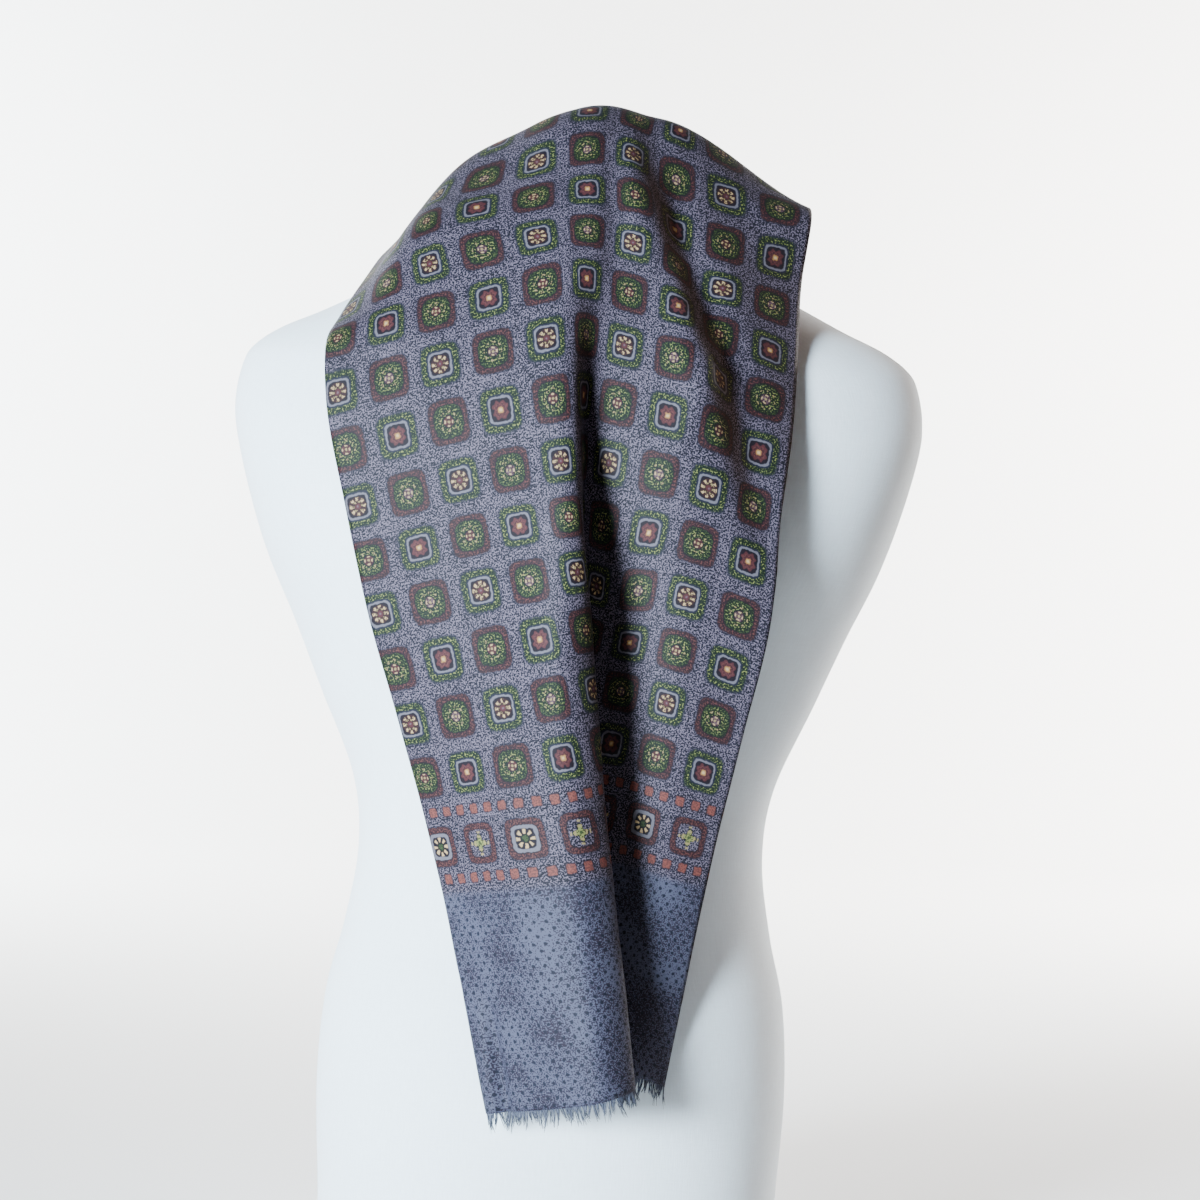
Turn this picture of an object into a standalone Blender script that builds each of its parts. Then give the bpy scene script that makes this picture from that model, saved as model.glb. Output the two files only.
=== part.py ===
"""A printed scarf with frayed ends, laid over the neck of a limbless dress form.

Metres, +Z up, +X to the viewer's right and -Y towards the front. The origin is in the middle
of the dress form's flat base. A point of the cloth has two lengths of its own: u runs across
it from the left edge, and v runs along it from the front hem, over the neck, to the back hem.
"""
import functools
import math

import bmesh
import bpy
import numpy as np

# ---- driving dimensions ------------------------------------------------------------------
CLOTH_WIDTH = 0.300          # the scarf laid flat
CLOTH_LENGTH = 1.067
CLOTH_WALL = 0.0016          # thickness of the cloth
SEAM_GAP = 0.0003            # clearance between neighbouring pieces
SEAT_GAP = 0.0010            # clearance between the cloth and the dress form

FRONT_STRETCH_END = 0.470    # v where the front fall becomes the stretch over the neck
NECK_STRETCH_END = 0.640     # v where the stretch over the neck becomes the back fall

FRINGE_LENGTH = 0.011        # mean length of the frayed threads
FRINGE_STRIP = 0.003         # height of the woven strip that the threads hang from
FRINGE_STRANDS = 100         # clumps of threads along each end
STRAND_SHARE = 0.6           # share of its pitch that a clump fills
STRAND_UNEVENNESS = 0.25     # share of its length by which a clump is longer or shorter
STRAND_LEAN = 0.45           # share of its pitch by which a tip stands to one side

CELLS_ACROSS = 38            # facets of the cloth across its width
FALL_CELL = 0.021            # and their length along the two falls
NECK_CELL = 0.010            # and over the neck
LIFT_CELLS_ACROSS = 60       # grid on which the cloth is kept clear of the form
LIFT_CELLS_ALONG = 214
LIFT_EASING_ROUNDS = 8       # each round spreads a lift by one cell
LIFT_ROUNDS = 40             # each round moves the cloth out to where the form says
FORM_SIDES = 44              # facets round the dress form
FORM_RINGS = 40              # and up it
AVERAGING_POINTS = 25        # points of the path that a rounded bend is averaged from
NORMAL_STEP = 0.0015         # distance over which the cloth's slope is measured
FORM_STEP = 0.0005           # and the form's
SHARP_EDGE = math.radians(50)

FOLD_DEPTH = 0.005               # thickness of the long pleat at its crest
TUCK_ANGLE = math.radians(11)    # how far the pleat's hidden return turns off the top layer
LONGEST_TUCK = 0.125             # the return holds no more cloth than this
FOLD_SHARE = 0.125               # the fold's depth is no more than this share of the tucked cloth
FOLD_FADE = 0.8                  # how quickly a soft fold grows from its ends
PLEAT_TURNS_TO_BACK = 0.560      # v past which the pleat folds towards the wearer's back


def table(columns, rows):
    """A short table as one array for each named column."""
    return dict(zip(columns.split(), np.array(rows).T))


# ---- the dress form: one row for each level ------------------------------------------------
FORM = table("z half_width front back squareness", [
    (0.000, 0.1280, 0.092, 0.104, 2.3),      # flat base
    (0.040, 0.1300, 0.096, 0.108, 2.3),
    (0.100, 0.1330, 0.098, 0.108, 2.3),      # hip
    (0.150, 0.1300, 0.094, 0.100, 2.3),
    (0.190, 0.1210, 0.086, 0.086, 2.2),
    (0.233, 0.1150, 0.082, 0.078, 2.2),      # waist
    (0.273, 0.1200, 0.084, 0.080, 2.2),
    (0.320, 0.1400, 0.092, 0.086, 2.2),
    (0.360, 0.1570, 0.102, 0.092, 2.2),
    (0.395, 0.1730, 0.108, 0.095, 2.3),      # bust
    (0.430, 0.1850, 0.103, 0.096, 2.4),
    (0.465, 0.1940, 0.092, 0.094, 2.4),
    (0.485, 0.1955, 0.085, 0.090, 2.3),      # shoulder tips
    (0.504, 0.1920, 0.079, 0.085, 2.2),
    (0.514, 0.1860, 0.075, 0.082, 2.1),
    (0.524, 0.1720, 0.071, 0.078, 2.0),
    (0.534, 0.1500, 0.067, 0.073, 2.0),
    (0.545, 0.1280, 0.063, 0.068, 2.0),
    (0.558, 0.1020, 0.059, 0.063, 2.0),
    (0.572, 0.0780, 0.055, 0.059, 2.0),
    (0.586, 0.0600, 0.053, 0.056, 2.0),      # foot of the neck
    (0.602, 0.0500, 0.049, 0.051, 2.0),
    (0.618, 0.0475, 0.044, 0.049, 2.0),
    (0.630, 0.0430, 0.039, 0.045, 2.0),
    (0.639, 0.0350, 0.031, 0.037, 2.0),
    (0.645, 0.0250, 0.025, 0.027, 2.0),
    (0.6485, 0.0130, 0.013, 0.014, 2.0),     # domed top of the neck block
])

# ---- the cloth: lines that run along it, one row for each section they cross ---------------
LEFT_EDGE = table("v x y z", [
    (0.000, -0.032, -0.108, 0.101),
    (0.144, -0.068, -0.097, 0.240),
    (0.213, -0.088, -0.095, 0.304),
    (0.274, -0.107, -0.095, 0.362),
    (0.335, -0.122, -0.093, 0.419),
    (0.396, -0.136, -0.088, 0.480),
    (0.424, -0.138, -0.080, 0.508),
    (0.455, -0.133, -0.057, 0.525),          # turns under, behind the slanting top fold
    (0.490, -0.122, -0.036, 0.549),
    (0.530, -0.112, -0.003, 0.570),          # crosses the shoulder
    (0.575, -0.104, 0.034, 0.570),
    (0.620, -0.097, 0.066, 0.546),
    (0.665, -0.093, 0.088, 0.516),
    (0.720, -0.088, 0.106, 0.468),
    (0.820, -0.084, 0.113, 0.370),
    (0.940, -0.080, 0.118, 0.251),
    (1.067, -0.076, 0.124, 0.125),
])
LEFT_BELLY = table("v x y z", [              # halfway from the left edge to the crest
    (0.000, 0.008, -0.134, 0.110),
    (0.144, -0.025, -0.130, 0.249),
    (0.213, -0.033, -0.130, 0.317),
    (0.274, -0.045, -0.124, 0.379),
    (0.335, -0.058, -0.118, 0.437),
    (0.396, -0.069, -0.103, 0.500),
    (0.440, -0.073, -0.082, 0.542),
    (0.480, -0.080, -0.057, 0.579),
    (0.518, -0.077, -0.024, 0.602),
    (0.555, -0.065, 0.012, 0.629),
    (0.600, -0.064, 0.052, 0.592),
    (0.650, -0.054, 0.082, 0.558),
    (0.720, -0.046, 0.106, 0.495),
    (0.820, -0.038, 0.122, 0.398),
    (0.940, -0.034, 0.130, 0.279),
    (1.067, -0.030, 0.134, 0.153),
])
CREST = table("v u x y z", [                 # outer fold of the long pleat
    (0.000, 0.102, 0.049, -0.132, 0.122),
    (0.144, 0.121, 0.029, -0.128, 0.259),
    (0.213, 0.133, 0.020, -0.137, 0.331),
    (0.274, 0.138, 0.012, -0.143, 0.392),
    (0.335, 0.141, 0.004, -0.140, 0.450),
    (0.396, 0.148, 0.000, -0.120, 0.518),
    (0.440, 0.153, 0.000, -0.099, 0.563),
    (0.480, 0.158, 0.000, -0.074, 0.596),
    (0.518, 0.158, 0.000, -0.046, 0.625),
    (0.555, 0.158, -0.002, -0.012, 0.656),   # over the neck block
    (0.600, 0.158, 0.000, 0.029, 0.652),
    (0.650, 0.154, 0.000, 0.067, 0.619),
    (0.720, 0.142, 0.004, 0.098, 0.556),
    (0.820, 0.130, 0.010, 0.130, 0.461),
    (0.940, 0.124, 0.014, 0.142, 0.342),
    (1.067, 0.120, 0.018, 0.148, 0.216),
])
ROLL = table("v width slope", [              # where the cloth rounds over before the crest
    (0.000, 0.026, 40),
    (0.144, 0.026, 40),
    (0.235, 0.026, 40),
    (0.300, 0.014, 30),
    (0.345, 0.006, 20),
    (0.400, 0.004, 10),
    (0.650, 0.004, 0),
    (0.820, 0.012, 10),
    (1.067, 0.014, 10),
])
OUTLET = table("v u x y z", [                # where the tucked cloth comes out again
    (0.000, 0.280, 0.049, -0.106, 0.124),
    (0.144, 0.230, 0.028, -0.098, 0.263),
    (0.213, 0.208, 0.019, -0.100, 0.330),
    (0.274, 0.192, 0.013, -0.104, 0.382),
    (0.335, 0.172, 0.002, -0.110, 0.452),
    (0.396, 0.168, 0.004, -0.099, 0.517),
    (0.440, 0.172, 0.010, -0.092, 0.560),
    (0.480, 0.180, 0.018, -0.078, 0.595),
    (0.518, 0.185, 0.020, -0.048, 0.628),
    (0.555, 0.188, 0.026, -0.012, 0.656),
    (0.600, 0.190, 0.028, 0.029, 0.648),
    (0.650, 0.196, 0.028, 0.066, 0.616),
    (0.720, 0.206, 0.024, 0.090, 0.552),
    (0.820, 0.216, 0.020, 0.104, 0.454),
    (0.940, 0.222, 0.020, 0.112, 0.335),
    (1.067, 0.226, 0.022, 0.116, 0.208),
])
RIGHT_BELLY = table("v x y z", [             # halfway from the outlet to the right edge
    (0.000, 0.055, -0.102, 0.121),
    (0.144, 0.055, -0.104, 0.255),
    (0.213, 0.056, -0.114, 0.323),
    (0.274, 0.057, -0.121, 0.382),
    (0.335, 0.058, -0.126, 0.441),
    (0.396, 0.062, -0.113, 0.503),
    (0.440, 0.064, -0.089, 0.541),
    (0.480, 0.067, -0.072, 0.569),
    (0.518, 0.068, -0.043, 0.604),
    (0.555, 0.068, -0.010, 0.640),
    (0.600, 0.067, 0.032, 0.628),
    (0.650, 0.062, 0.068, 0.596),
    (0.720, 0.060, 0.094, 0.532),
    (0.820, 0.058, 0.112, 0.434),
    (0.940, 0.058, 0.122, 0.315),
    (1.067, 0.058, 0.130, 0.188),
])
RIGHT_EDGE = table("v x y z", [
    (0.000, 0.062, -0.096, 0.117),
    (0.144, 0.084, -0.094, 0.248),
    (0.213, 0.096, -0.106, 0.309),
    (0.274, 0.107, -0.113, 0.365),
    (0.335, 0.111, -0.110, 0.425),
    (0.396, 0.117, -0.082, 0.483),
    (0.440, 0.119, -0.062, 0.522),
    (0.480, 0.121, -0.043, 0.559),
    (0.518, 0.126, -0.029, 0.597),           # stands out in the air, clear of the shoulder
    (0.560, 0.121, 0.010, 0.604),
    (0.600, 0.110, 0.046, 0.594),
    (0.650, 0.099, 0.080, 0.562),
    (0.720, 0.092, 0.106, 0.502),
    (0.820, 0.088, 0.116, 0.404),
    (0.940, 0.084, 0.122, 0.285),
    (1.067, 0.080, 0.128, 0.159),
])
EASE = table("v reach", [                    # how far each bend is rounded, along the cloth
    (0.000, 0.022),
    (0.200, 0.024),
    (0.400, 0.029),
    (0.460, 0.038),
    (0.650, 0.038),
    (0.820, 0.021),
    (1.067, 0.016),
])
FOLDS = table("u_start v_start u_end v_end height half_width", [     # soft troughs and ridges
    (0.187, 0.575, 0.298, 0.305, -0.0070, 0.014),
    (0.165, 0.545, 0.290, 0.285, 0.0040, 0.015),
    (0.176, 0.555, 0.180, 0.420, -0.0040, 0.009),
    (0.026, 0.410, 0.082, 0.575, 0.0060, 0.030),
    (0.110, 0.640, 0.070, 0.860, -0.0050, 0.017),
    (0.240, 0.620, 0.262, 0.900, -0.0050, 0.017),
])


def smooth_row(stations, rows, place):
    """A smooth curve through rows of numbers that stand at the stations, read at one place."""
    slopes = np.gradient(rows, stations, axis=0)
    k = int(np.clip(np.searchsorted(stations, place) - 1, 0, len(rows) - 2))
    span = stations[k + 1] - stations[k]
    w = (place - stations[k]) / span
    return ((1 + 2 * w) * (1 - w) ** 2 * rows[k] + w * (1 - w) ** 2 * span * slopes[k]
            + w * w * (3 - 2 * w) * rows[k + 1] + w * w * (w - 1) * span * slopes[k + 1])


def curve_at(line, v, columns):
    """A guide line of the cloth, read at the length v."""
    return smooth_row(line["v"], np.stack([line[name] for name in columns], axis=1), v)


# ---- the dress form's surface -------------------------------------------------------------
@functools.cache
def form_rings():
    """The form's rings: the table's rows with smooth ones between them, as columns."""
    rows = np.stack(list(FORM.values()), axis=1)
    places = np.linspace(0, len(rows) - 1, FORM_RINGS)
    return np.array([smooth_row(np.arange(len(rows)), rows, place) for place in places]).T


def form_level(z):
    """Half width, front and back depth and squareness of the form at the heights z."""
    heights, *columns = form_rings()
    return [np.interp(z, heights, column) for column in columns]


def form_reach(points):
    """How far points lie outside the form, measured level and roughly."""
    half_width, front, back, squareness = form_level(points[..., 2])
    depth = np.where(points[..., 1] < 0, front, back)
    across = np.abs(points[..., 0]) / half_width
    along = np.abs(points[..., 1]) / depth
    ratio = (across ** squareness + along ** squareness) ** (1 / squareness)
    level = (ratio - 1) * np.minimum(half_width, depth)
    return np.maximum(level, points[..., 2] - FORM["z"][-1])


def form_distance(points):
    """True distance of points near the form's surface, and the direction away from it."""
    level = form_reach(points)
    slope = np.stack([(form_reach(points + axis) - form_reach(points - axis)) / (2 * FORM_STEP)
                      for axis in np.eye(3) * FORM_STEP], axis=-1)
    steepness = np.maximum(np.linalg.norm(slope, axis=-1, keepdims=True), 1e-6)
    return level / steepness[..., 0], slope / steepness


# ---- the cloth's middle surface -----------------------------------------------------------
def section(v):
    """Corners of the cross-section at v: their u, and where they are."""
    left, belly, right_belly, right = [curve_at(line, v, "xyz")
                                       for line in (LEFT_EDGE, LEFT_BELLY, RIGHT_BELLY, RIGHT_EDGE)]
    crest_u, *crest = curve_at(CREST, v, "uxyz")
    outlet_u, *outlet = curve_at(OUTLET, v, "uxyz")
    crest, outlet = np.array(crest), np.array(outlet)

    # The return runs from the crest under the left panel, turned a little towards the body,
    # and is as long as leaves just enough cloth to reach the outlet.
    tucked = min(outlet_u - crest_u, LONGEST_TUCK)
    in_front = v < PLEAT_TURNS_TO_BACK
    turn = TUCK_ANGLE if in_front else -TUCK_ANGLE
    x, y, z = belly - crest
    along = np.array([x * math.cos(turn) + y * math.sin(turn), y * math.cos(turn) - x * math.sin(turn),
                      0 if in_front else z])
    along /= np.linalg.norm(along)
    depth = min(FOLD_DEPTH, tucked * FOLD_SHARE)
    under = crest + depth * math.copysign(1, turn) * np.array([along[1], -along[0], 0])
    left_over = tucked - depth
    across = outlet - under
    reach = max((left_over ** 2 - across @ across) / (2 * (left_over - along @ across)), 0.0)
    inner = under + reach * along
    inner_u = crest_u + (outlet_u - crest_u) * min((depth + reach) / tucked, 1.0)

    # The roll stands a little before the crest, where the panel starts to round over.
    width = np.interp(v, ROLL["v"], ROLL["width"])
    slope = math.copysign(math.radians(np.interp(v, ROLL["v"], ROLL["slope"])), turn)
    rise = (crest[2] - belly[2]) / (crest_u / 2)
    roll = crest - width * np.array([math.cos(slope), math.sin(slope), rise])

    corners_u = [0, crest_u / 2, crest_u - width, crest_u, crest_u + depth, inner_u, outlet_u,
                 (outlet_u + CLOTH_WIDTH) / 2, CLOTH_WIDTH]
    return np.array(corners_u), np.array([left, belly, roll, crest, under, inner, outlet, right_belly,
                                          right])


def eased_section(v, u_values):
    """Points of the cross-section at v, with every bend rounded by averaging along the path."""
    corners_u, corners = section(v)
    path = np.concatenate([[0], np.cumsum(np.linalg.norm(np.diff(corners, axis=0), axis=1))])
    kept = np.concatenate([[True], np.diff(path) > 1e-6])
    path_kept, corners_kept = path[kept], corners[kept]
    first = (corners_kept[1] - corners_kept[0]) / (path_kept[1] - path_kept[0])
    last = (corners_kept[-1] - corners_kept[-2]) / (path_kept[-1] - path_kept[-2])

    window = np.linspace(-1, 1, AVERAGING_POINTS)
    weight = np.cos(window * math.pi / 2) ** 2
    weight /= weight.sum()
    reach = np.interp(v, EASE["v"], EASE["reach"])
    place = np.interp(u_values, corners_u, path)[:, None] + window * reach
    inside = np.clip(place, 0, path[-1])
    points = np.stack([np.interp(inside, path_kept, corners_kept[:, k]) for k in range(3)], axis=-1)
    points += np.minimum(place, 0)[..., None] * first
    points += np.maximum(place - path[-1], 0)[..., None] * last
    return (points * weight[:, None]).sum(axis=1)


def draped(u_values, v_values):
    """The cloth before its soft folds: points for each u and v."""
    return np.stack([eased_section(v, u_values) for v in v_values], axis=1)


def away_from_body(u_values, v_values):
    """Unit normals of the draped cloth, on its outer side."""
    across = draped(u_values + NORMAL_STEP, v_values) - draped(u_values - NORMAL_STEP, v_values)
    along = draped(u_values, v_values + NORMAL_STEP) - draped(u_values, v_values - NORMAL_STEP)
    normal = np.cross(across, along)
    return normal / np.linalg.norm(normal, axis=-1, keepdims=True)


def grid_normals(grid):
    """Unit normals of any grid of the cloth's points, on its outer side."""
    normal = np.cross(np.gradient(grid, axis=0), np.gradient(grid, axis=1))
    return normal / np.linalg.norm(normal, axis=-1, keepdims=True)


def fold_height(u, v):
    """Height of the soft folds at u, v: each fades out at its ends and its sides."""
    height = np.zeros(np.broadcast(u, v).shape)
    for k in range(len(FOLDS["height"])):
        start = np.array([FOLDS["u_start"][k], FOLDS["v_start"][k]])
        run = np.array([FOLDS["u_end"][k], FOLDS["v_end"][k]]) - start
        share = ((u - start[0]) * run[0] + (v - start[1]) * run[1]) / (run @ run)
        away = ((u - start[0]) * run[1] - (v - start[1]) * run[0]) / np.linalg.norm(run)
        ends = np.sin(math.pi * np.clip(share, 0, 1)) ** FOLD_FADE
        height += FOLDS["height"][k] * ends * np.exp(-(away / FOLDS["half_width"][k]) ** 2)
    return height


@functools.cache
def lift_off_form():
    """How far each point of a fixed grid moves out to clear the form, eased round the contact."""
    u_values = np.linspace(0, CLOTH_WIDTH, LIFT_CELLS_ACROSS + 1)
    v_values = np.linspace(0, CLOTH_LENGTH, LIFT_CELLS_ALONG + 1)
    outwards = away_from_body(u_values, v_values)
    height = fold_height(u_values[:, None], v_values[None, :])
    start = draped(u_values, v_values) + outwards * height[..., None]
    need = CLOTH_WALL / 2 + SEAT_GAP
    lift = np.zeros(height.shape)
    for _ in range(LIFT_ROUNDS):
        lift += np.maximum(need - form_distance(start + outwards * lift[..., None])[0], 0)
    for _ in range(LIFT_EASING_ROUNDS):
        for axis in (0, 1):
            padded = np.pad(lift, [(1, 1) if axis == side else (0, 0) for side in (0, 1)], mode="edge")
            before, after = np.split(padded, [2], axis)[1], np.split(padded, [-2], axis)[0]
            lift = np.maximum(lift, (before + after) / 2)
    return u_values, v_values, lift


def cloth_grid(u_values, v_values):
    """Middle surface of the cloth: points for each u and v."""
    lift_u, lift_v, lift = lift_off_form()
    by_row = np.array([np.interp(u_values, lift_u, lift[:, j]) for j in range(len(lift_v))])
    lifted = np.array([np.interp(v_values, lift_v, by_row[:, i]) for i in range(len(u_values))])
    height = fold_height(u_values[:, None], v_values[None, :]) + lifted
    return draped(u_values, v_values) + away_from_body(u_values, v_values) * height[..., None]


# ---- making objects -----------------------------------------------------------------------
def new_material(name, colour, roughness):
    """A plain cloth material."""
    material = bpy.data.materials.new(name)
    material.use_nodes = True
    shader = material.node_tree.nodes["Principled BSDF"]
    shader.inputs["Base Color"].default_value = (*colour, 1)
    shader.inputs["Roughness"].default_value = roughness
    shader.inputs["Metallic"].default_value = 0.0
    return material


def new_object(name, points, faces, material):
    """An object from points and faces, smooth but for its sharp edges."""
    mesh = bpy.data.meshes.new(name)
    mesh.from_pydata([tuple(p) for p in points], [], faces)
    mesh.validate()
    sheet = bmesh.new()
    sheet.from_mesh(mesh)
    bmesh.ops.recalc_face_normals(sheet, faces=sheet.faces)
    if sheet.calc_volume(signed=True) < 0:
        bmesh.ops.reverse_faces(sheet, faces=sheet.faces)
    sheet.to_mesh(mesh)
    sheet.free()
    mesh.shade_smooth()
    mesh.set_sharp_from_angle(angle=SHARP_EDGE)
    mesh.materials.append(material)
    thing = bpy.data.objects.new(name, mesh)
    bpy.context.scene.collection.objects.link(thing)
    return thing


def dress_form(material):
    """The torso: rings at each level, closed by a flat base and the top of the neck block."""
    angles = np.linspace(0, 2 * math.pi, FORM_SIDES, endpoint=False)
    points = []
    for z, half_width, front, back, squareness in form_rings().T:
        for angle in angles:
            c, s = math.cos(angle), math.sin(angle)
            depth = back if s > 0 else front
            points.append((half_width * math.copysign(abs(c) ** (2 / squareness), c),
                           depth * math.copysign(abs(s) ** (2 / squareness), s), z))
    faces = []
    for level in range(FORM_RINGS - 1):
        for side in range(FORM_SIDES):
            after = (side + 1) % FORM_SIDES
            low, high = level * FORM_SIDES, (level + 1) * FORM_SIDES
            faces.append((low + side, low + after, high + after, high + side))
    faces.append(tuple(reversed(range(FORM_SIDES))))
    faces.append(tuple(range((FORM_RINGS - 1) * FORM_SIDES, FORM_RINGS * FORM_SIDES)))
    return new_object("dress_form", points, faces, material)


def stretch(v_start, v_end, cell):
    """The middle surface of one stretch of the scarf, as a grid with its normals."""
    rows = round((v_end - v_start) / cell) + 1
    u_values = np.linspace(0, CLOTH_WIDTH, CELLS_ACROSS + 1)
    grid = cloth_grid(u_values, np.linspace(v_start, v_end, rows))
    return {"u": u_values, "grid": grid, "normal": grid_normals(grid)}


def cloth_wall(name, piece, material):
    """A stretch of the scarf as a thin closed wall round its middle surface."""
    half = piece["normal"] * CLOTH_WALL / 2
    points = np.concatenate([(piece["grid"] + half).reshape(-1, 3), (piece["grid"] - half).reshape(-1, 3)])
    columns, rows = piece["grid"].shape[:2]
    inner = columns * rows

    def at(i, j):
        return i * rows + j

    faces = []
    for i in range(columns - 1):
        for j in range(rows - 1):
            quad = (at(i, j), at(i + 1, j), at(i + 1, j + 1), at(i, j + 1))
            faces.append(quad)
            faces.append(tuple(inner + p for p in reversed(quad)))
    rim = [at(i, 0) for i in range(columns)]
    rim += [at(columns - 1, j) for j in range(1, rows)]
    rim += [at(i, rows - 1) for i in range(columns - 2, -1, -1)]
    rim += [at(0, j) for j in range(rows - 2, 0, -1)]
    for here, after in zip(rim, rim[1:] + rim[:1]):
        faces.append((after, here, inner + here, inner + after))
    return new_object(name, points, faces, material)


def fringe(name, piece, hem, next_row, material, seed):
    """The frayed end: a narrow strip below the hem, with a clump of threads on every other cell."""
    random = np.random.default_rng(seed)
    pitch = CLOTH_WIDTH / FRINGE_STRANDS
    starts = (np.arange(FRINGE_STRANDS) + (1 - STRAND_SHARE) / 2) * pitch
    u_values = np.sort(np.concatenate([[0, CLOTH_WIDTH], starts, starts + STRAND_SHARE * pitch]))

    def along_hem(values):
        return np.stack([np.interp(u_values, piece["u"], values[:, k]) for k in range(3)], axis=1)

    edge = along_hem(piece["grid"][:, hem])
    normal = along_hem(piece["normal"][:, hem])
    fall = edge - along_hem(piece["grid"][:, next_row])
    fall /= np.linalg.norm(fall, axis=1, keepdims=True)

    half = normal * CLOTH_WALL / 2
    top = edge + fall * SEAM_GAP
    foot = top + fall * FRINGE_STRIP
    points = list(np.concatenate([top + half, top - half, foot + half, foot - half]))
    count = len(u_values)
    faces = [(0, count, 3 * count, 2 * count),
             (count - 1, 3 * count - 1, 4 * count - 1, 2 * count - 1)]
    for k in range(count - 1):
        faces.append((k, k + 1, count + k + 1, count + k))
        faces.append((k, 2 * count + k, 2 * count + k + 1, k + 1))
        faces.append((count + k, count + k + 1, 3 * count + k + 1, 3 * count + k))
        root = (2 * count + k, 3 * count + k, 3 * count + k + 1, 2 * count + k + 1)
        if k % 2 == 0:
            faces.append(root)
            continue
        length = FRINGE_LENGTH * (1 + STRAND_UNEVENNESS * random.uniform(-1, 1))
        sideways = (edge[k + 1] - edge[k]) * STRAND_LEAN * random.uniform(-1, 1)
        outwards = half[k] * random.uniform(-1, 1)
        points.append((foot[k] + foot[k + 1]) / 2 + fall[k] * length + sideways + outwards)
        tip = len(points) - 1
        faces += [(root[n], root[(n + 1) % 4], tip) for n in range(4)]
    return new_object(name, points, faces, material)


def main():
    for thing in list(bpy.data.objects):
        bpy.data.objects.remove(thing)
    jersey = new_material("white jersey", (0.80, 0.81, 0.83), 0.9)
    print_cloth = new_material("printed cloth", (0.14, 0.15, 0.19), 0.6)
    threads = new_material("frayed threads", (0.20, 0.23, 0.30), 0.8)

    dress_form(jersey)
    gap = SEAM_GAP / 2
    front = stretch(0.0, FRONT_STRETCH_END - gap, FALL_CELL)
    neck = stretch(FRONT_STRETCH_END + gap, NECK_STRETCH_END - gap, NECK_CELL)
    back = stretch(NECK_STRETCH_END + gap, CLOTH_LENGTH, FALL_CELL)
    cloth_wall("scarf_front_fall", front, print_cloth)
    cloth_wall("scarf_neck_stretch", neck, print_cloth)
    cloth_wall("scarf_back_fall", back, print_cloth)
    fringe("fringe_front", front, 0, 1, threads, seed=3)
    fringe("fringe_back", back, -1, -2, threads, seed=8)


main()
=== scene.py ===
"""The looks of a printed scarf that lies over the neck of a limbless dress form."""

import functools
import math

import bpy
import numpy as np
from bpy.props import FloatProperty, FloatVectorProperty, IntProperty, PointerProperty
from mathutils import Matrix, Vector


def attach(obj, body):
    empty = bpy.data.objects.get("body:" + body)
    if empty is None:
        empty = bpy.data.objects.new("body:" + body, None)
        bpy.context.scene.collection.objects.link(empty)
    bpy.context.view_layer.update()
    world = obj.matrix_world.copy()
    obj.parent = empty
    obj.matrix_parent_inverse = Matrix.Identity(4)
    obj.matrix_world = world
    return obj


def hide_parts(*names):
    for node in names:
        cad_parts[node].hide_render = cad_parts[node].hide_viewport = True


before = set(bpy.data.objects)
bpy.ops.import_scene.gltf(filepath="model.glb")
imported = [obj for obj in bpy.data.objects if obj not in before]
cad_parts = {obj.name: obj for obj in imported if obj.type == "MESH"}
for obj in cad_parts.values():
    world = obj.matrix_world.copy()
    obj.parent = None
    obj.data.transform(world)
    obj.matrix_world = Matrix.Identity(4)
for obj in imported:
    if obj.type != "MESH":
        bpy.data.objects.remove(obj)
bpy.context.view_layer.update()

bl_info = {
    "name": "Draped scarf",
    "version": (1, 0, 0),
    "blender": (4, 5, 0),
    "location": "3D View > Sidebar > Scarf",
    "description": "Builds a printed scarf with frayed ends on a limbless dress form",
    "category": "Object",
}

# ---- sizes in metres, counts and angles that the cloth's form is worked out from
CLOTH_WIDTH = 0.300
CLOTH_LENGTH = 1.067
CLOTH_WALL = 0.0016
SEAT_GAP = 0.0010  # clearance between the cloth's wall and the dress form
LIFT_CELLS_ACROSS = 60  # grid on which the cloth is kept clear of the form
LIFT_CELLS_ALONG = 214
LIFT_EASING_ROUNDS = 8  # each round spreads a lift by one cell
LIFT_ROUNDS = 40  # each round moves the cloth out to where the form says
FORM_RINGS = 40  # rings that the cloth's clearance is measured from
AVERAGING_POINTS = 25  # points of the path that a rounded bend is averaged from
NORMAL_STEP = 0.0015  # distance over which the cloth's slope is measured
FORM_STEP = 0.0005  # and the form's
FORM_RADIUS = 0.12  # rough radius of the form, for laying its cover flat
SHARP_ANGLE = math.radians(60)  # edges of the form that bend more than this are crisp
SHORTEST = 1e-6  # lengths below this count as nothing
FOLD_DEPTH = 0.005  # thickness of the long pleat at its crest
TUCK_ANGLE = math.radians(11)  # how far the pleat's hidden return turns off the top layer
LONGEST_TUCK = 0.125  # the return holds no more cloth than this
FOLD_SHARE = 0.125  # the fold's depth is no more than this share of the tucked cloth
FOLD_FADE = 0.8  # how quickly a soft fold grows from its ends
PLEAT_TURNS_TO_BACK = 0.560  # v past which the pleat folds towards the wearer's back
WIDE_RIPPLE = 0.0005  # heights of the barely raised unevenness of worn cloth
FINE_RIPPLE = 0.00025

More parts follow.
